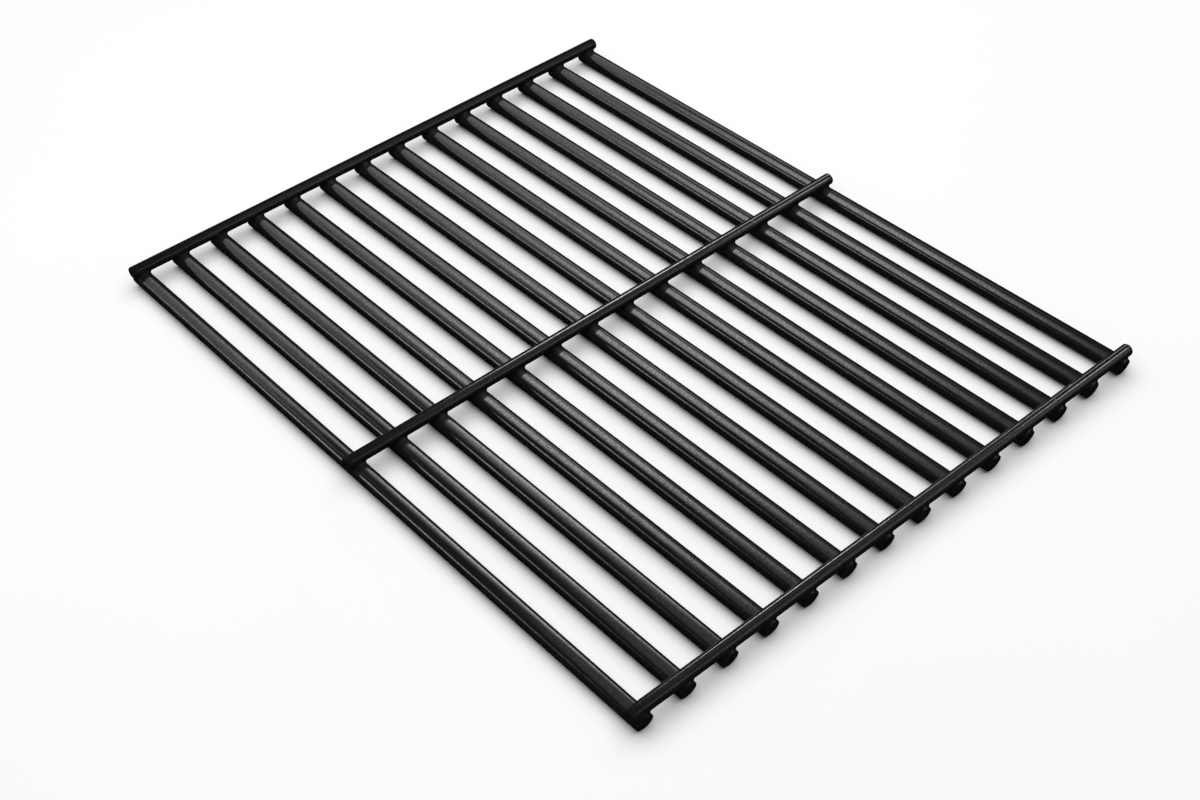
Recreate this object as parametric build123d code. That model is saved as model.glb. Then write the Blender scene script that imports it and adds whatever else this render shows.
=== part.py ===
from build123d import *
import os

# A welded cooking grate, in millimetres, +Z up.
# Round bars lie along X on the plane Z = 0; cross rods lie along Y, welded on top of them.
# All diameters are over the enamel. The origin is under the middle of the grate.

# Bars
BAR_COUNT = 14
BAR_DIAMETER = 8.6
BAR_LENGTH = 375.0
BAR_PITCH = 22.22          # from one bar's axis to the next
BAR_OVERHANG = 3.7         # from an outer rod's axis to the bars' ends
BAR_RIM = 0.9              # how much of the rim of a bar's end is broken away

# Cross rods
ROD_DIAMETER = 6.0
ROD_OVERHANG = 5.57        # from an outer bar's axis to the rods' ends
ROD_RIM = 0.5              # how much of the rim of a rod's end is broken away

# Welds
SEAT_DEPTH = 1.4           # how far a rod is let into the top of each bar
BEAD_LEG = 1.4             # how far the weld bead reaches from the seat's edge, along the bar and up the rod

# Values that follow from the sizes above
BAR_RADIUS = BAR_DIAMETER / 2
BAR_SPAN = (BAR_COUNT - 1) * BAR_PITCH
ROD_RADIUS = ROD_DIAMETER / 2
ROD_LENGTH = BAR_SPAN + 2 * ROD_OVERHANG
ROD_HEIGHT = BAR_DIAMETER + ROD_RADIUS - SEAT_DEPTH
ROD_SPREAD = BAR_LENGTH / 2 - BAR_OVERHANG
ROD_PLACES = {
    "rear_cross_rod": -ROD_SPREAD,
    "middle_cross_rod": 0.0,
    "front_cross_rod": ROD_SPREAD,
}


def rod_cylinder(x, length):
    """A plain cylinder along Y at the height of the cross rods, its seam along the top."""
    turn = Rot(90, 0, 0) * Rot(0, 0, 90)
    return Pos(x, 0, ROD_HEIGHT) * turn * Cylinder(ROD_RADIUS, length)


def make_rod(x):
    """One cross rod, cut square at both ends with the rims broken."""
    rod = rod_cylinder(x, ROD_LENGTH)
    return chamfer(rod.edges().filter_by(GeomType.CIRCLE), ROD_RIM)


def bar_envelope():
    """What the bars are trimmed to: a drum along X, wider than a bar, that cones in to the bars' ends."""
    end = BAR_LENGTH / 2
    face_radius = BAR_RADIUS - BAR_RIM
    flare = BAR_RIM + BAR_RADIUS
    outline = Polyline(
        (-end, 0),
        (-end, face_radius),
        (-end + flare, face_radius + flare),
        (end - flare, face_radius + flare),
        (end, face_radius),
        (end, 0),
        close=True,
    )
    return Pos(0, 0, BAR_RADIUS) * revolve(make_face(outline), Axis.X)


def make_bar():
    """One bar under the middle of the grate, with a seat and a weld bead for each cross rod."""
    spare = 4 * BAR_DIAMETER
    stock = Pos(0, 0, BAR_RADIUS) * Rot(0, 90, 0) * Cylinder(BAR_RADIUS, BAR_LENGTH + spare)
    rods = [rod_cylinder(x, spare) for x in ROD_PLACES.values()]
    welded = stock + rods
    beaded = chamfer(new_edges(stock, *rods, combined=welded), BEAD_LEG)
    seats = [rod_cylinder(x, 2 * spare) for x in ROD_PLACES.values()]
    return (beaded - seats) & bar_envelope()


def make_nodes():
    """Every separate piece of the grate by its node name."""
    nodes = {}
    bar = make_bar()
    for i in range(BAR_COUNT):
        nodes[f"grate_bar_{i + 1:02d}"] = Pos(0, i * BAR_PITCH - BAR_SPAN / 2, 0) * bar
    for name, x in ROD_PLACES.items():
        nodes[name] = make_rod(x)
    return nodes


os.makedirs("parts", exist_ok=True)
for node, shape in make_nodes().items():
    export_step(shape, f"parts/{node}.step")
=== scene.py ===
import logging
import math
from dataclasses import dataclass, field
from enum import Enum
from typing import Any

import bpy
import numpy as np
from mathutils import Matrix, Quaternion, Vector


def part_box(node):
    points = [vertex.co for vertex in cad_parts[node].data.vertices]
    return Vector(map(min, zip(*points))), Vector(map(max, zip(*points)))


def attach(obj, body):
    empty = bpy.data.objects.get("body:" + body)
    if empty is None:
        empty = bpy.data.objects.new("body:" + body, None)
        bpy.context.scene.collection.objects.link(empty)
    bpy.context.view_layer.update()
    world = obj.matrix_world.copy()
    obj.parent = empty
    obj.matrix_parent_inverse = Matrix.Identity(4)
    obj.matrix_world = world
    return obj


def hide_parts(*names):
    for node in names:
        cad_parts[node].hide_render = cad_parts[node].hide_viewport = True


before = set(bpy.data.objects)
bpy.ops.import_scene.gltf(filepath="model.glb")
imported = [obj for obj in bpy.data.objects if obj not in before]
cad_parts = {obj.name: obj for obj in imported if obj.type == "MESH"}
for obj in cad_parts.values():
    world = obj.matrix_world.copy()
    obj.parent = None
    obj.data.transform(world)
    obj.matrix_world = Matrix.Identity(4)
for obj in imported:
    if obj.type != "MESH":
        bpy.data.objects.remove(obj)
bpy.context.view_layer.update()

LOG = logging.getLogger("grate")
MM = 0.001
BODY = "root"
WELD_MARK = "weld"
TINY = 1e-9
PLACE_DIGITS = 4
# How the cap on a wire's end shrinks towards its middle, ring by ring.
CAP_SHARES = (0.7, 0.35)
# The sRGB curve: the end and the slope of its straight foot, and its offset and power above that.
SRGB_KNEE, SRGB_SLOPE, SRGB_OFFSET, SRGB_POWER = 0.04045, 12.92, 0.055, 2.4
# The numbers of a colour mix's two colour inputs and of its colour output.
MIX_FIRST, MIX_SECOND, MIX_COLOUR = 6, 7, 2


class RodPlace(Enum):
    """The cross rods from the back to the front; each value is the rod's node name."""

    REAR = "rear_cross_rod"
    MIDDLE = "middle_cross_rod"
    FRONT = "front_cross_rod"


class LampKind(Enum):
    """What a lamp does: light the scene, or be the bright thing that the gloss mirrors."""

    SOFTBOX = "softbox"
    CARD = "card"


class Wires(Enum):
    """Which wires a lamp is flagged to."""

    ALL = "all"
    BARS = "bars"
    LEFT_BARS = "left_bars"
    INNER_BARS = "inner_bars"
    RODS = "rods"
    NEAR_RODS = "near_rods"


def srgb(code: str) -> tuple[float, float, float, float]:
    """Turns an sRGB hex colour to linear RGBA.

    Args:
        code: A colour such as "#17171b".

    Returns:
        Linear red, green, blue and an alpha of 1.
    """
    channels = [int(code[i:i + 2], 16) / 255 for i in (1, 3, 5)]
    linear = [
        c / SRGB_SLOPE if c <= SRGB_KNEE
        else ((c + SRGB_OFFSET) / (1 + SRGB_OFFSET)) ** SRGB_POWER
        for c in channels
    ]
    return (linear[0], linear[1], linear[2], 1.0)


def add_node(
    tree: bpy.types.NodeTree,
    kind: str,
    settings: dict[str, Any] | None = None,
    inputs: dict[Any, Any] | None = None,
) -> bpy.types.Node:
    """Adds a node to a tree with its settings, and fills its inputs with values or links.

    Args:
        tree: The node tree.
        kind: The node's type name.
        settings: Attributes of the node itself.
        inputs: A value or another node's output for each named or numbered input.

    Returns:
        The new node.
    """
    node = tree.nodes.new(kind)
    for key, value in (settings or {}).items():
        setattr(node, key, value)
    for key, value in (inputs or {}).items():
        if isinstance(value, bpy.types.NodeSocket):
            tree.links.new(value, node.inputs[key])
        else:
            node.inputs[key].default_value = value
    return node


def fresh_tree(
    owner: bpy.types.Material | bpy.types.Light | bpy.types.World
) -> bpy.types.NodeTree:
    """Gives a material, a light or a world an empty node tree.

    Args:
        owner: What the tree belongs to.

    Returns:
        The tree.
    """
    owner.use_nodes = True
    owner.node_tree.nodes.clear()
    return owner.node_tree


def calculate(tree: bpy.types.NodeTree, operation: str, *values: Any) -> bpy.types.NodeSocket:
    """Adds a calculation on values or other nodes' outputs to a tree.

    Args:
        tree: The node tree.
        operation: The name of the calculation.
        values: What goes into it, in order.

    Returns:
        The output that carries the result.
    """
    node = add_node(tree, "ShaderNodeMath", {"operation": operation}, dict(enumerate(values)))
    return node.outputs["Value"]


def colour_mix(
    tree: bpy.types.NodeTree, share: bpy.types.NodeSocket, first: str, second: str
) -> bpy.types.NodeSocket:
    """Mixes two colours in a tree.

    Args:
        tree: The node tree.
        share: The output that gives the second colour's share.
        first: The first colour's hex code.
        second: The second colour's hex code.

    Returns:
        The output that carries the mixed colour.
    """
    mix = add_node(tree, "ShaderNodeMix", {"data_type": "RGBA"}, {
        "Factor": share, MIX_FIRST: srgb(first), MIX_SECOND: srgb(second)})
    return mix.outputs[MIX_COLOUR]


def per_metre(size_mm: float) -> float:
    """The texture scale, in features per metre, of a pattern that repeats every size_mm."""
    return 1.0 / (size_mm * MM)


def skin_of_rings(rings: np.ndarray) -> tuple[np.ndarray, list[tuple[int, ...]]]:
    """Joins closed rings of points into one closed skin.

    Args:
        rings: Points of each ring in order, as an array of rings by points by three.

    Returns:
        The vertices, and the faces that wrap them, with a shrinking cap at both ends.
    """
    first, last = rings[0], rings[-1]
    first_middle, last_middle = first.mean(axis=0), last.mean(axis=0)
    start = [first_middle + s * (first - first_middle) for s in reversed(CAP_SHARES)]
    finish = [last_middle + s * (last - last_middle) for s in CAP_SHARES]
    stack = np.concatenate([np.array(start), rings, np.array(finish)])
    count, around = stack.shape[:2]
    vertices = np.concatenate([stack.reshape(-1, 3), first_middle[None], last_middle[None]])
    faces: list[tuple[int, ...]] = []
    for i in range(count - 1):
        low, high = i * around, (i + 1) * around
        for j in range(around):
            k = (j + 1) % around
            faces.append((low + j, low + k, high + k, high + j))
    head, tail, top = count * around, count * around + 1, (count - 1) * around
    for j in range(around):
        k = (j + 1) % around
        faces.append((head, k, j))
        faces.append((tail, top + j, top + k))
    return vertices, faces


def solid_piece(name: str, rings_mm: np.ndarray, crease_deg: float) -> bpy.types.Object:
    """Makes a smooth-shaded mesh piece out of rings of points.

    Args:
        name: The piece's name.
        rings_mm: The rings, in millimetres.
        crease_deg: The angle above which an edge stays sharp.

    Returns:
        The new object, in the scene and at the origin.
    """
    vertices, faces = skin_of_rings(rings_mm)
    mesh = bpy.data.meshes.new(name)
    mesh.from_pydata((vertices * MM).tolist(), [], faces)
    mesh.shade_smooth()
    mesh.set_sharp_from_angle(angle=math.radians(crease_deg))
    mesh.update()
    piece = bpy.data.objects.new(name, mesh)
    bpy.context.scene.collection.objects.link(piece)
    return piece


def rim_steps(rim_mm: float, steps: int) -> tuple[np.ndarray, np.ndarray]:
    """A quarter round, from the flat of a wire's end out to its side.

    Args:
        rim_mm: The radius of the rounded rim.
        steps: How many rings draw it.

    Returns:
        The distance of each ring from the wire's end, and how much it is drawn in.
    """
    turn = np.linspace(0.0, math.pi / 2, steps)
    return rim_mm * (1 - np.cos(turn)), rim_mm * (1 - np.sin(turn))


@dataclass(frozen=True)
class Grain:
    """A noise pattern: its size, how many finer layers lie over it and how strong those are."""

    size_mm: float
    detail: float = 1.0
    roughness: float = 0.5

    def pattern(
        self, tree: bpy.types.NodeTree, place: bpy.types.NodeSocket
    ) -> bpy.types.NodeSocket:
        """Adds the pattern to a material.

        Args:
            tree: The material's node tree.
            place: The output that gives the point on the piece.

        Returns:
            The output that carries the pattern.
        """
        noise = add_node(tree, "ShaderNodeTexNoise", inputs={
            "Vector": place, "Scale": per_metre(self.size_mm),
            "Detail": self.detail, "Roughness": self.roughness})
        return noise.outputs["Fac"]


@dataclass(frozen=True)
class PorcelainEnamel:
    """Porcelain enamel: black glass sprayed on as a slip and fired on to the welded steel wire.

    To the eye it is a deep neutral black with a satin gloss: broad soft reflections that
    break up slightly over an orange-peel skin, a few fired-in pips, and a tone that shifts
    a little where the glass lies thicker.
    """

    name: str = "black_porcelain_enamel"
    thick_glass: str = "#141417"
    thin_glass: str = "#19191c"
    ior: float = 1.5
    roughness_low: float = 0.11
    roughness_high: float = 0.18
    tone: Grain = Grain(26.0, detail=3.0, roughness=0.6)
    gloss: Grain = Grain(7.0, detail=4.0, roughness=0.65)
    sag: Grain = Grain(17.0)
    sag_depth_mm: float = 0.10
    # Orange peel is about 0.6 mm across. It is drawn nearly twice as coarse, so that it shows.
    peel: Grain = Grain(1.1, detail=2.0, roughness=0.55)
    peel_depth_mm: float = 0.025
    # Dull specks in the gloss are about 0.3 mm across. They are drawn coarser, so that they show.
    specks: Grain = Grain(0.8)
    gloss_low: float = 0.3
    gloss_high: float = 0.7
    # Most of a noise pattern's values lie between these two.
    noise_span: tuple[float, float] = (0.3, 0.7)
    # Over the welds the glass fires matt: so much rougher, and with this share of its gloss.
    weld_roughness: float = 0.25
    weld_gloss: float = 0.12
    # Pips are about 0.3 mm across and are drawn larger for the same reason.
    pip_spacing_mm: float = 9.0
    pip_reach: float = 0.07
    pip_depth_mm: float = 0.10

    def material(self) -> bpy.types.Material:
        """Builds the enamel's node material.

        Returns:
            The material.
        """
        material = bpy.data.materials.new(self.name)
        tree = fresh_tree(material)
        place = add_node(tree, "ShaderNodeTexCoord").outputs["Object"]
        tone = self.tone.pattern(tree, place)
        roughness = self.spread(
            tree, self.gloss.pattern(tree, place), self.roughness_low, self.roughness_high)
        mirror = self.spread(
            tree, self.specks.pattern(tree, place), self.gloss_low, self.gloss_high)
        weld = add_node(tree, "ShaderNodeAttribute", {"attribute_name": WELD_MARK}).outputs["Fac"]
        kept = add_node(tree, "ShaderNodeMapRange", inputs={
            "Value": weld, "To Min": 1.0, "To Max": self.weld_gloss})
        shader = add_node(tree, "ShaderNodeBsdfPrincipled", inputs={
            "Base Color": colour_mix(tree, tone, self.thick_glass, self.thin_glass),
            "Roughness": calculate(tree, "MULTIPLY_ADD", weld, self.weld_roughness, roughness),
            "IOR": self.ior,
            "Specular IOR Level": calculate(tree, "MULTIPLY", mirror, kept.outputs["Result"]),
            "Normal": self.relief(tree, place)})
        add_node(tree, "ShaderNodeOutputMaterial", inputs={"Surface": shader.outputs["BSDF"]})
        return material

    def spread(
        self, tree: bpy.types.NodeTree, pattern: bpy.types.NodeSocket, low: float, high: float
    ) -> bpy.types.NodeSocket:
        """Spreads a noise pattern over a range of values.

        Args:
            tree: The material's node tree.
            pattern: The output that carries the pattern.
            low: The value where the pattern is low.
            high: The value where the pattern is high.

        Returns:
            The output that carries the value.
        """
        span_low, span_high = self.noise_span
        value = add_node(tree, "ShaderNodeMapRange", inputs={
            "Value": pattern, "From Min": span_low, "From Max": span_high,
            "To Min": low, "To Max": high})
        return value.outputs["Result"]

    def relief(self, tree: bpy.types.NodeTree, place: bpy.types.NodeSocket) -> bpy.types.NodeSocket:
        """Stacks the sag, the orange peel and the pips into one bumped normal.

        Args:
            tree: The material's node tree.
            place: The output that gives the point on the piece.

        Returns:
            The output that carries the normal.
        """
        pips = add_node(tree, "ShaderNodeTexVoronoi", inputs={
            "Vector": place, "Scale": per_metre(self.pip_spacing_mm)})
        domes = add_node(tree, "ShaderNodeMapRange", {"interpolation_type": "SMOOTHSTEP"}, {
            "Value": pips.outputs["Distance"], "From Min": 0.0, "From Max": self.pip_reach,
            "To Min": 1.0, "To Max": 0.0})
        layers = (
            (self.sag.pattern(tree, place), self.sag_depth_mm),
            (self.peel.pattern(tree, place), self.peel_depth_mm),
            (domes.outputs["Result"], self.pip_depth_mm),
        )
        below: dict[str, bpy.types.NodeSocket] = {}
        for height, depth_mm in layers:
            bump = add_node(tree, "ShaderNodeBump", inputs={
                "Height": height, "Distance": depth_mm * MM, **below})
            below = {"Normal": bump.outputs["Normal"]}
        return below["Normal"]


@dataclass(frozen=True)
class PaintedBoard:
    """Matt white paint on a smooth board: an even pale ground with no gloss of its own.

    Away from the grate the board runs out into the plain white of the cove.
    """

    name: str = "matt_white_board"
    light: str = "#f6f6f5"
    dull: str = "#f3f3f1"
    patches: Grain = Grain(180.0, detail=2.0)
    roughness: float = 0.9
    gloss: float = 0.0
    far: str = "#fdfdfd"
    far_from_mm: float = 270.0
    far_to_mm: float = 800.0

    def material(self) -> bpy.types.Material:
        """Builds the board's node material.

        Returns:
            The material.
        """
        material = bpy.data.materials.new(self.name)
        tree = fresh_tree(material)
        place = add_node(tree, "ShaderNodeTexCoord").outputs["Object"]
        patches = self.patches.pattern(tree, place)
        shader = add_node(tree, "ShaderNodeBsdfPrincipled", inputs={
            "Base Color": colour_mix(tree, patches, self.light, self.dull),
            "Roughness": self.roughness, "Specular IOR Level": self.gloss})
        white = add_node(tree, "ShaderNodeEmission", inputs={
            "Color": srgb(self.far), "Strength": 1.0})
        ground = add_node(tree, "ShaderNodeMixShader", inputs={
            0: self.far_share(tree, place), 1: shader.outputs["BSDF"],
            2: white.outputs["Emission"]})
        add_node(tree, "ShaderNodeOutputMaterial", inputs={"Surface": ground.outputs["Shader"]})
        material.cycles.emission_sampling = "NONE"
        return material

    def far_share(
        self, tree: bpy.types.NodeTree, place: bpy.types.NodeSocket
    ) -> bpy.types.NodeSocket:
        """How far the board gives way to plain white, to the eye only and never as a light.

        Args:
            tree: The material's node tree.
            place: The output that gives the point on the board.

        Returns:
            The output that carries the share of white.
        """
        reach = add_node(tree, "ShaderNodeVectorMath", {"operation": "LENGTH"}, {0: place})
        share = add_node(tree, "ShaderNodeMapRange", {"interpolation_type": "SMOOTHSTEP"}, {
            "Value": reach.outputs["Value"],
            "From Min": self.far_from_mm * MM, "From Max": self.far_to_mm * MM})
        ray = add_node(tree, "ShaderNodeLightPath").outputs
        mirrored = calculate(tree, "MAXIMUM", ray["Is Glossy Ray"], ray["Is Transmission Ray"])
        seen = calculate(tree, "MAXIMUM", ray["Is Camera Ray"], mirrored)
        return calculate(tree, "MULTIPLY", share.outputs["Result"], seen)


@dataclass
class CrossRods:
    """The three thin wires across the tops of the bars."""

    rim_mm: float = 0.85
    rim_rings: int = 7
    around: int = 72
    ring_gap_mm: float = 3.0
    crease_deg: float = 50.0
    # A pip of enamel stands on the front rod, on the slope that faces up and back.
    pip_along_mm: float = 110.0
    pip_turn_deg: float = 132.0
    pip_length_mm: float = 1.5
    pip_width_mm: float = 0.8
    pip_height_mm: float = 0.28
    pip_rings: int = 13
    pip_span: float = 2.4
    pieces: dict[RodPlace, bpy.types.Object] = field(default_factory=dict)

    def axis_mm(self, place: RodPlace) -> tuple[float, float, float]:
        """Where a rod runs.

        Args:
            place: Which rod.

        Returns:
            The x and z of the rod's axis and its radius, in millimetres.
        """
        low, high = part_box(place.value)
        radius = (high.z - low.z) / 2
        return (low.x + high.x) / 2 / MM, (low.z + high.z) / 2 / MM, radius / MM

    def build(self) -> None:
        """Draws each rod as a round wire with softly rounded ends."""
        for place in RodPlace:
            self.pieces[place] = solid_piece(
                f"{place.value}_enamelled", self.rings(place), self.crease_deg)

    def rings(self, place: RodPlace) -> np.ndarray:
        """The rings of one rod from its left end to its right end.

        Args:
            place: Which rod.

        Returns:
            The rings, in millimetres.
        """
        x, z, radius = self.axis_mm(place)
        low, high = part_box(place.value)
        left, right = low.y / MM, high.y / MM
        depth, draw = rim_steps(self.rim_mm, self.rim_rings)
        count = round((right - left - 2 * self.rim_mm) / self.ring_gap_mm)
        inner = np.linspace(left + self.rim_mm, right - self.rim_mm, count + 1)[1:-1]
        if place is RodPlace.FRONT:
            span = np.linspace(-self.pip_span, self.pip_span, self.pip_rings)
            inner = np.union1d(inner, self.pip_along_mm + span * self.pip_length_mm)
        along = np.concatenate([left + depth, inner, (right - depth)[::-1]])
        radii = np.concatenate([radius - draw, np.full(len(inner), radius), (radius - draw)[::-1]])
        turn = np.linspace(0, 2 * math.pi, self.around, endpoint=False)
        skin = np.repeat(radii[:, None], self.around, axis=1)
        if place is RodPlace.FRONT:
            skin = skin + self.pip(along, turn, radius)
        points = np.empty((len(along), self.around, 3))
        points[..., 0] = x + skin * np.cos(turn)
        points[..., 1] = along[:, None]
        points[..., 2] = z + skin * np.sin(turn)
        return points[:, ::-1]

    def pip(self, along: np.ndarray, turn: np.ndarray, radius: float) -> np.ndarray:
        """How far the pip of enamel lifts each point of the front rod.

        Args:
            along: The place of each ring along the rod.
            turn: The angles round the rod.
            radius: The rod's radius.

        Returns:
            The lift at each ring and angle, in millimetres.
        """
        reach = (along[:, None] - self.pip_along_mm) / self.pip_length_mm
        swing = (turn - math.radians(self.pip_turn_deg)) * radius / self.pip_width_mm
        return self.pip_height_mm * np.exp(-reach ** 2 - swing ** 2)

    def dress(self, enamel: bpy.types.Material) -> None:
        """Enamels the rods and hands them to the frame in place of the plain ones.

        Args:
            enamel: The enamel's material.
        """
        for place, piece in self.pieces.items():
            piece.data.materials.append(enamel)
            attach(piece, BODY)
            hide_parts(place.value)
            LOG.info("%s: %d faces", piece.name, len(piece.data.polygons))


@dataclass
class GrateBars:
    """The thick wires that carry the food, each with a weld bead under every cross rod."""

    count: int = 14
    left_count: int = 3
    radius_mm: float = 4.3
    rim_mm: float = 0.5
    rim_rings: int = 8
    # The wire is sheared off, which leaves the foot of each end short of its top.
    cut_back_mm: float = 1.5
    cut_reach_mm: float = 6.0
    bead_mm: float = 1.6
    bead_spread: float = 0.16
    bead_reach_mm: float = 3.4
    bead_sink_mm: float = 0.04
    bead_steps: int = 69
    # The matt zone over a weld, from where it begins behind the rod to where it ends in front.
    weld_zone_mm: tuple[float, float] = (-3.5, 7.0)
    weld_fade_mm: float = 0.7
    seat_press_mm: float = 0.1
    crossing_mm: float = 6.0
    fine_gap_mm: float = 0.35
    wide_gap_mm: float = 8.0
    top_turn_deg: float = 3.0
    under_turn_deg: float = 6.5
    top_from_deg: float = 9.0
    crease_deg: float = 50.0
    seed: int = 14
    pieces: dict[str, bpy.types.Object] = field(default_factory=dict)

    def node(self, index: int) -> str:
        """The node name of a bar, counted from 1."""
        return f"grate_bar_{index:02d}"

    def build(self, rods: CrossRods) -> None:
        """Draws every bar, with beads that differ a little as hand-set welds do.

        Args:
            rods: The cross rods that lie on the bars.
        """
        draw = np.random.default_rng(self.seed)
        axes = [rods.axis_mm(place) for place in RodPlace]
        for index in range(1, self.count + 1):
            beads = self.bead_mm * (1 + self.bead_spread * draw.uniform(-1, 1, len(axes)))
            node = self.node(index)
            rings = self.rings(node, axes, beads)
            self.pieces[node] = solid_piece(f"{node}_enamelled", rings, self.crease_deg)
            self.mark_welds(self.pieces[node].data, [axis[0] for axis in axes[:-1]])

    def mark_welds(self, mesh: bpy.types.Mesh, crossings: list[float]) -> None:
        """Marks the part of a bar that lies in the matt zone of a weld.

        Args:
            mesh: The bar's mesh.
            crossings: Where the axes are of the cross rods with a matt zone.
        """
        places = np.empty(len(mesh.vertices) * 3)
        mesh.vertices.foreach_get("co", places)
        along = places.reshape(-1, 3)[:, :1] / MM - np.array(crossings)
        behind, front = self.weld_zone_mm
        inside = np.minimum(along - behind, front - along) / self.weld_fade_mm
        mark = mesh.attributes.new(WELD_MARK, "FLOAT", "POINT")
        mark.data.foreach_set("value", np.clip(inside + 0.5, 0, 1).max(axis=1))

    def turns(self) -> np.ndarray:
        """The angles round a bar, close together over the top where the beads are.

        Returns:
            The angles in order, in radians.
        """
        start, end = self.top_from_deg, 180.0 - self.top_from_deg
        top = np.linspace(start, end, round((end - start) / self.top_turn_deg) + 1)
        rest = 360.0 - (end - start)
        under = np.linspace(end, start + 360.0, round(rest / self.under_turn_deg) + 1)[1:-1]
        return np.radians(np.concatenate([top, under]))

    def stations(self, low: float, high: float, crossings: list[float]) -> np.ndarray:
        """The places of the rings along a bar, close together at the crossings.

        Args:
            low: The bar's rear end.
            high: The bar's front end.
            crossings: Where the cross rods' axes are.

        Returns:
            The places in order, between the two rounded rims.
        """
        start, end = low + self.rim_mm, high - self.rim_mm
        places = [np.array([start, end])]
        front, fade = self.weld_zone_mm[1], self.weld_fade_mm / 2
        fades = np.array([front - fade, front, front + fade])
        for crossing in crossings:
            near = max(start, crossing - self.crossing_mm)
            far = min(end, crossing + self.crossing_mm)
            places.append(np.linspace(near, far, round((far - near) / self.fine_gap_mm) + 1))
            places.append(np.minimum(crossing + fades, end))
        edges = np.unique(np.round(np.concatenate(places), PLACE_DIGITS))
        filled = [edges[:1]]
        for a, b in zip(edges[:-1], edges[1:]):
            filled.append(np.linspace(a, b, max(1, round((b - a) / self.wide_gap_mm)) + 1)[1:])
        return np.concatenate(filled)

    def rings(
        self, node: str, axes: list[tuple[float, float, float]], beads: np.ndarray
    ) -> np.ndarray:
        """The rings of one bar from its rear end to its front end.

        Args:
            node: The bar's node name.
            axes: The x, z and radius of each cross rod.
            beads: The size of the weld bead at each crossing.

        Returns:
            The rings, in millimetres.
        """
        low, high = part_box(node)
        rear, front = low.x / MM, high.x / MM
        y = (low.y + high.y) / 2 / MM
        radius = self.radius_mm
        depth, draw = rim_steps(self.rim_mm, self.rim_rings)
        inner = self.stations(rear, front, [a[0] for a in axes])[1:-1]
        along = np.concatenate([rear + depth, inner, (front - depth)[::-1]])
        drawn = np.concatenate([draw, np.zeros(len(inner)), draw[::-1]])
        turn = self.turns()
        skin = np.full((len(along), len(turn)), radius)
        for (rod_x, rod_z, rod_radius), bead in zip(axes, beads):
            close = np.abs(along - rod_x) <= self.crossing_mm + self.rim_mm
            skin[close] = self.beaded(
                along[close] - rod_x, turn, rod_z - radius, rod_radius, bead)
        skin = skin - drawn[:, None]
        points = np.empty((*skin.shape, 3))
        points[..., 0] = along[:, None]
        points[..., 1] = y + skin * np.cos(turn)
        points[..., 2] = radius + skin * np.sin(turn)
        self.shear(points, rear, front)
        return points

    def shear(self, points: np.ndarray, rear: float, front: float) -> None:
        """Slants both ends of a bar, so that each foot lies short of its top.

        Args:
            points: The rings of the bar, in millimetres, which are changed in place.
            rear: Where the bar's rear end is.
            front: Where the bar's front end is.
        """
        top = 2 * self.radius_mm - self.rim_mm
        low = np.clip((top - points[..., 2]) / (top - self.rim_mm), 0, None)
        for end, sign in ((rear, 1), (front, -1)):
            inside = np.abs(points[..., 0] - end)
            share = np.clip(1 - inside / self.cut_reach_mm, 0, None)
            points[..., 0] += sign * self.cut_back_mm * low * share

    def beaded(
        self,
        offset: np.ndarray,
        turn: np.ndarray,
        lift: float,
        rod_radius: float,
        bead: float,
    ) -> np.ndarray:
        """The bar's radius round a crossing: plain wire, hollow bead, and the seat under the rod.

        Args:
            offset: Each ring's distance from the rod's axis, along the bar.
            turn: The angles round the bar.
            lift: The height of the rod's axis over the bar's axis.
            rod_radius: The rod's radius.
            bead: How far the bead stands off both wires.

        Returns:
            The radius at each ring and angle.
        """
        radius = self.radius_mm
        reach = radius + np.linspace(0.0, self.bead_reach_mm, self.bead_steps)[:, None, None]
        across, up = offset[None, :, None], np.sin(turn)[None, None, :]
        to_bar = reach - radius
        to_rod = np.hypot(across, reach * up - lift) - rod_radius + self.bead_sink_mm
        hollow = np.hypot(np.clip(bead - to_bar, 0, None), np.clip(bead - to_rod, 0, None))
        height = np.maximum(bead, np.minimum(to_bar, to_rod)) - hollow
        outside = height > TINY
        first = np.clip(outside.argmax(axis=0), 1, None)[None]
        before = np.take_along_axis(height, first - 1, axis=0)[0]
        after = np.take_along_axis(height, first, axis=0)[0]
        steps = np.broadcast_to(reach, height.shape)
        inner = np.take_along_axis(steps, first - 1, axis=0)[0]
        outer = np.take_along_axis(steps, first, axis=0)[0]
        share = np.clip(-before / np.maximum(after - before, TINY), 0, 1)
        skin = np.where(outside.any(axis=0), inner + share * (outer - inner), np.inf)
        pressed = (rod_radius - self.seat_press_mm) ** 2 - offset[:, None] ** 2
        under = lift - np.sqrt(np.clip(pressed, 0, None))
        rises = np.maximum(np.sin(turn)[None, :], TINY)
        seat = np.where((pressed > 0) & (np.sin(turn)[None, :] > 0), under / rises, np.inf)
        return np.minimum(skin, seat)

    def dress(self, enamel: bpy.types.Material) -> None:
        """Enamels the bars and hands them to the frame in place of the plain ones.

        Args:
            enamel: The enamel's material.
        """
        for node, piece in self.pieces.items():
            piece.data.materials.append(enamel)
            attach(piece, BODY)
            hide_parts(node)
            LOG.info("%s: %d faces", piece.name, len(piece.data.polygons))


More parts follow.
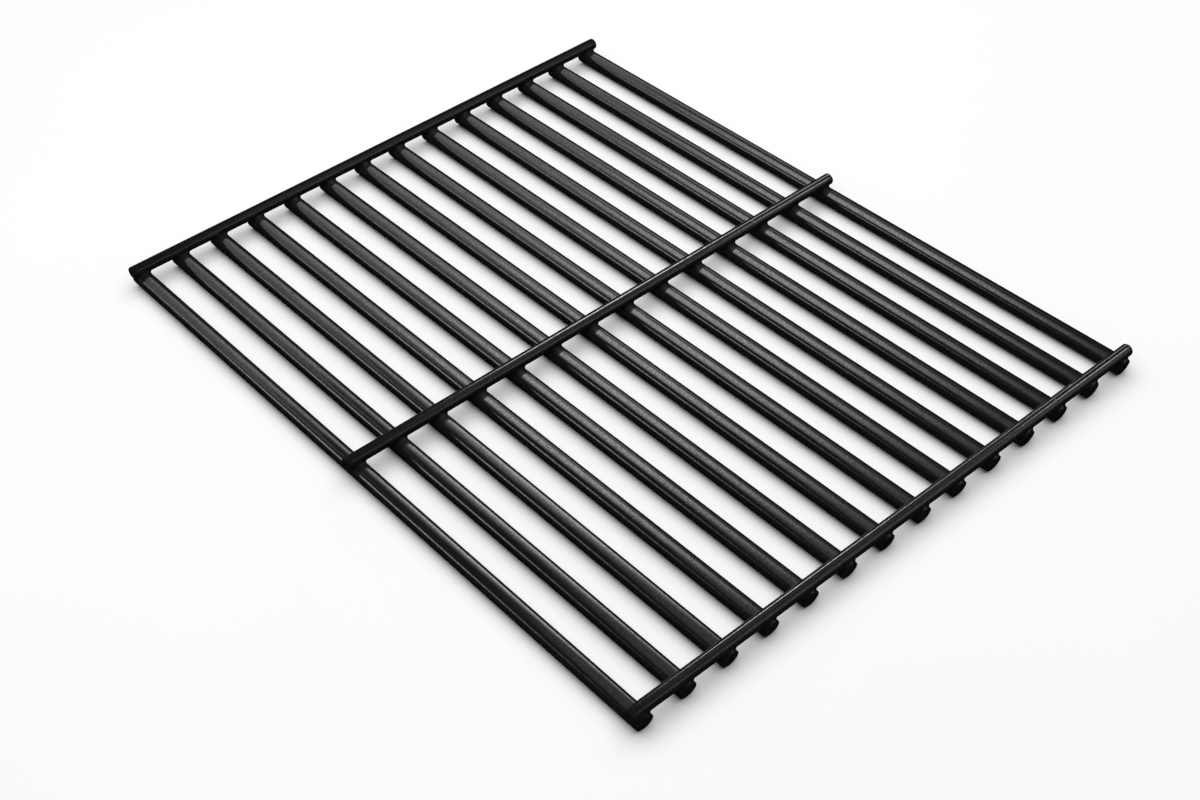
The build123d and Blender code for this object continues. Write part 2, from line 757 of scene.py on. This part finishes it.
@dataclass(frozen=True)
class Lamp:
    """One flat lamp of the studio."""

    name: str
    kind: LampKind
    place_mm: tuple[float, float, float]
    aim_mm: tuple[float, float, float]
    wide_mm: float
    deep_mm: float
    radiance: float
    fades: bool = False
    # Where a lamp that fades is brightest, how far it reaches from there and how much of that
    # is even, as shares of its sides.
    hot_at: tuple[float, float] = (0.5, 0.5)
    hot_reach: tuple[float, float] = (0.5, 0.5)
    hot_core: float = 0.2
    roll_deg: float = 0.0
    tint: str = "#fcfaff"
    flagged_to: Wires = Wires.ALL

    def hang(self, wires: dict[Wires, list[bpy.types.Object]]) -> None:
        """Puts the lamp up with its face to the point it aims at, and flags it to its wires.

        Args:
            wires: The pieces of each group of wires.
        """
        data = bpy.data.lights.new(self.name, "AREA")
        data.shape = "RECTANGLE"
        data.size, data.size_y = self.wide_mm * MM, self.deep_mm * MM
        data.energy = self.radiance * math.pi * data.size * data.size_y
        data.color = srgb(self.tint)[:3]
        if self.fades:
            self.fade(data)
        lamp = bpy.data.objects.new(self.name, data)
        bpy.context.scene.collection.objects.link(lamp)
        start, aim = Vector(self.place_mm), Vector(self.aim_mm)
        roll = Quaternion((0.0, 0.0, 1.0), math.radians(self.roll_deg))
        lamp.rotation_euler = ((aim - start).to_track_quat("-Z", "Y") @ roll).to_euler()
        lamp.location = start * MM
        lamp.visible_camera = False
        lamp.visible_diffuse = self.kind is LampKind.SOFTBOX
        lamp.visible_glossy = self.kind is LampKind.CARD
        if self.flagged_to is not Wires.ALL:
            lit = bpy.data.collections.new(f"{self.name}_lit")
            for piece in wires[self.flagged_to]:
                lit.objects.link(piece)
            lamp.light_linking.receiver_collection = lit

    def fade(self, data: bpy.types.Light) -> None:
        """Makes the lamp brightest at its hot spot and darker away from it, as a lit cloth is.

        Args:
            data: The lamp's light.
        """
        tree = fresh_tree(data)
        spot = add_node(tree, "ShaderNodeNewGeometry").outputs["Parametric"]
        offset = add_node(tree, "ShaderNodeVectorMath", {"operation": "SUBTRACT"}, {
            0: spot, 1: (*self.hot_at, 0.0)})
        spread = add_node(tree, "ShaderNodeVectorMath", {"operation": "DIVIDE"}, {
            0: offset.outputs["Vector"], 1: (*self.hot_reach, 1.0)})
        reach = add_node(tree, "ShaderNodeVectorMath", {"operation": "LENGTH"}, {
            0: spread.outputs["Vector"]})
        share = add_node(tree, "ShaderNodeMapRange", {"interpolation_type": "SMOOTHSTEP"}, {
            "Value": reach.outputs["Value"], "From Min": self.hot_core, "From Max": 1.0,
            "To Min": 1.0, "To Max": 0.0})
        glow = add_node(tree, "ShaderNodeEmission", inputs={"Strength": share.outputs["Result"]})
        add_node(tree, "ShaderNodeOutputLight", inputs={"Surface": glow.outputs["Emission"]})


@dataclass
class Studio:
    """A pale board under one wide softbox, with a white cove all round and cards for the gloss."""

    floor_radius_mm: float = 2600.0
    floor_hub_mm: float = 1.0
    cove_height_mm: float = 1300.0
    floor_drop_mm: float = 0.02
    around: int = 96
    cove_light: str = "#fdfdfd"
    sky: str = "#747577"
    lamps: tuple[Lamp, ...] = (
        Lamp("overhead", LampKind.SOFTBOX, (-150.0, 80.0, 1500.0), (0.0, 0.0, 0.0),
             wide_mm=2600.0, deep_mm=2600.0, radiance=1.93, tint="#ffffff"),
        Lamp("rear_cloth", LampKind.CARD, (-147.0, 70.0, 280.0), (-147.0, 70.0, 0.0),
             wide_mm=454.0, deep_mm=630.0, radiance=5.0, fades=True, roll_deg=-14.0,
             hot_at=(0.5, 0.39), hot_reach=(0.5, 0.45), flagged_to=Wires.INNER_BARS),
        Lamp("left_cloth", LampKind.CARD, (0.0, 10.0, 75.0), (0.0, 10.0, 0.0),
             wide_mm=308.0, deep_mm=340.0, radiance=4.0, fades=True, flagged_to=Wires.LEFT_BARS),
        Lamp("rear_fill", LampKind.CARD, (-290.0, 0.0, 200.0), (-290.0, 0.0, 0.0),
             wide_mm=300.0, deep_mm=500.0, radiance=0.65, fades=True, flagged_to=Wires.BARS),
        Lamp("right_fill", LampKind.CARD, (-80.0, 300.0, 200.0), (-80.0, 300.0, 0.0),
             wide_mm=350.0, deep_mm=260.0, radiance=0.65, fades=True, flagged_to=Wires.BARS),
        Lamp("front_fill", LampKind.CARD, (55.0, -20.0, 200.0), (55.0, -20.0, 0.0),
             wide_mm=190.0, deep_mm=760.0, radiance=0.55, fades=True,
             hot_reach=(0.5, 0.8), flagged_to=Wires.BARS),
        Lamp("rear_left_wall", LampKind.CARD, (-800.0, -375.0, 430.0), (0.0, -375.0, 430.0),
             wide_mm=750.0, deep_mm=740.0, radiance=1.0, flagged_to=Wires.BARS),
        Lamp("rear_right_wall", LampKind.CARD, (-800.0, 600.0, 600.0), (0.0, 600.0, 600.0),
             wide_mm=1200.0, deep_mm=420.0, radiance=1.35, flagged_to=Wires.BARS),
        Lamp("left_strip", LampKind.CARD, (-901.0, -1199.0, 278.0), (0.0, 0.0, 0.0),
             wide_mm=900.0, deep_mm=460.0, radiance=4.5, fades=True,
             flagged_to=Wires.BARS),
        Lamp("rod_line", LampKind.CARD, (-225.0, 240.0, 350.0), (-225.0, 240.0, 0.0),
             wide_mm=220.0, deep_mm=280.0, radiance=16.0, fades=True,
             hot_reach=(0.5, 0.75), flagged_to=Wires.NEAR_RODS),
        Lamp("rod_tail", LampKind.CARD, (-225.0, 600.0, 350.0), (-225.0, 600.0, 0.0),
             wide_mm=220.0, deep_mm=540.0, radiance=6.0, fades=True,
             hot_reach=(0.5, 3.0), flagged_to=Wires.NEAR_RODS),
        Lamp("right_panel", LampKind.CARD, (293.0, 510.0, 430.0), (100.0, 100.0, 0.0),
             wide_mm=240.0, deep_mm=240.0, radiance=7.0, fades=True,
             flagged_to=Wires.NEAR_RODS),
        Lamp("rod_top", LampKind.CARD, (135.0, 365.0, 600.0), (135.0, 365.0, 0.0),
             wide_mm=640.0, deep_mm=480.0, radiance=0.3, flagged_to=Wires.RODS),
        Lamp("front_wash", LampKind.CARD, (900.0, 600.0, 440.0), (0.0, 0.0, 0.0),
             wide_mm=1400.0, deep_mm=1100.0, radiance=0.8, fades=True),
    )

    def build(self, wires: dict[Wires, list[bpy.types.Object]]) -> None:
        """Lays the floor, stands the cove round it and hangs the lamps.

        Args:
            wires: The pieces of each group of wires.
        """
        board = PaintedBoard().material()
        self.lay("floor", self.floor_points(), board, closed=True)
        cove = self.lay("cove", self.cove_points(), self.cove_material())
        cove.visible_diffuse = False
        for lamp in self.lamps:
            lamp.hang(wires)
        self.light_sky()

    def circle(self, radius_mm: float, z_mm: float) -> np.ndarray:
        """The points of a level circle round the middle of the grate.

        Args:
            radius_mm: The circle's radius.
            z_mm: The circle's height.

        Returns:
            The points, in millimetres.
        """
        turn = np.linspace(0, 2 * math.pi, self.around, endpoint=False)
        level = np.full(self.around, z_mm)
        return np.stack([radius_mm * np.cos(turn), radius_mm * np.sin(turn), level], 1)

    def floor_points(self) -> np.ndarray:
        """The floor's edge and a tiny circle at its middle."""
        return np.stack([self.circle(self.floor_radius_mm, -self.floor_drop_mm),
                         self.circle(self.floor_hub_mm, -self.floor_drop_mm)])

    def cove_points(self) -> np.ndarray:
        """The top and the foot of the cove."""
        return np.stack([self.circle(self.floor_radius_mm, self.cove_height_mm),
                         self.circle(self.floor_radius_mm, -self.floor_drop_mm)])

    def lay(
        self, name: str, rings_mm: np.ndarray, material: bpy.types.Material, closed: bool = False
    ) -> bpy.types.Object:
        """Joins two rings into a sheet of the stage, which the gloss of the enamel doesn't show.

        Args:
            name: The sheet's name.
            rings_mm: The two rings, in millimetres.
            material: What the sheet is made of.
            closed: Whether a face fills the second ring.

        Returns:
            The sheet.
        """
        vertices = rings_mm.reshape(-1, 3) * MM
        n = self.around
        faces = [(j, (j + 1) % n, n + (j + 1) % n, n + j) for j in range(n)]
        if closed:
            faces.append(tuple(range(n, 2 * n)))
        mesh = bpy.data.meshes.new(name)
        mesh.from_pydata(vertices.tolist(), [], faces)
        mesh.materials.append(material)
        mesh.update()
        sheet = bpy.data.objects.new(name, mesh)
        bpy.context.scene.collection.objects.link(sheet)
        sheet.visible_glossy = False
        return sheet

    def cove_material(self) -> bpy.types.Material:
        """Builds the cove's even white, which lights nothing.

        Returns:
            The material.
        """
        material = bpy.data.materials.new("lit_white_cove")
        tree = fresh_tree(material)
        glow = add_node(tree, "ShaderNodeEmission", inputs={
            "Color": srgb(self.cove_light), "Strength": 1.0})
        add_node(tree, "ShaderNodeOutputMaterial", inputs={"Surface": glow.outputs["Emission"]})
        material.cycles.emission_sampling = "NONE"
        return material

    def light_sky(self) -> None:
        """Fills the room above the cove with a dim even light, which the gloss doesn't show."""
        world = bpy.data.worlds.new("studio_room")
        bpy.context.scene.world = world
        world.cycles_visibility.glossy = False
        tree = fresh_tree(world)
        room = add_node(tree, "ShaderNodeBackground", inputs={
            "Color": srgb(self.sky), "Strength": 1.0})
        add_node(tree, "ShaderNodeOutputWorld", inputs={"Surface": room.outputs["Background"]})


@dataclass(frozen=True)
class PhotoCamera:
    """The camera, where the photograph was taken from."""

    place_mm: tuple[float, float, float] = (499.322, -405.154, 542.783)
    forward: tuple[float, float, float] = (-0.576584, 0.458923, -0.675974)
    up: tuple[float, float, float] = (-0.489191, 0.468751, 0.735503)
    lens_mm: float = 53.2584
    sensor_mm: float = 36.0
    clip_mm: tuple[float, float] = (10.0, 20000.0)

    def set_up(self) -> None:
        """Places the camera and makes it the scene's own."""
        data = bpy.data.cameras.new("photo_camera")
        data.sensor_fit = "HORIZONTAL"
        data.sensor_width = self.sensor_mm
        data.lens = self.lens_mm
        data.clip_start, data.clip_end = (distance * MM for distance in self.clip_mm)
        camera = bpy.data.objects.new("photo_camera", data)
        bpy.context.scene.collection.objects.link(camera)
        forward, up = Vector(self.forward).normalized(), Vector(self.up).normalized()
        right = forward.cross(up)
        turn = Matrix((right, up, -forward)).transposed().to_4x4()
        camera.matrix_world = Matrix.Translation(Vector(self.place_mm) * MM) @ turn
        bpy.context.scene.camera = camera


def main() -> None:
    """Builds the grate, dresses it and sets it in the studio."""
    logging.basicConfig(level=logging.INFO, format="%(message)s")
    bpy.context.scene.view_settings.view_transform = "Standard"
    enamel = PorcelainEnamel().material()
    rods = CrossRods()
    rods.build()
    bars = GrateBars()
    bars.build(rods)
    rods.dress(enamel)
    bars.dress(enamel)
    Studio().build({
        Wires.BARS: list(bars.pieces.values()),
        Wires.LEFT_BARS: list(bars.pieces.values())[:bars.left_count],
        Wires.INNER_BARS: list(bars.pieces.values())[bars.left_count:],
        Wires.RODS: list(rods.pieces.values()),
        Wires.NEAR_RODS: [rods.pieces[RodPlace.MIDDLE], rods.pieces[RodPlace.FRONT]],
    })
    PhotoCamera().set_up()


if __name__ == "__main__":
    main()
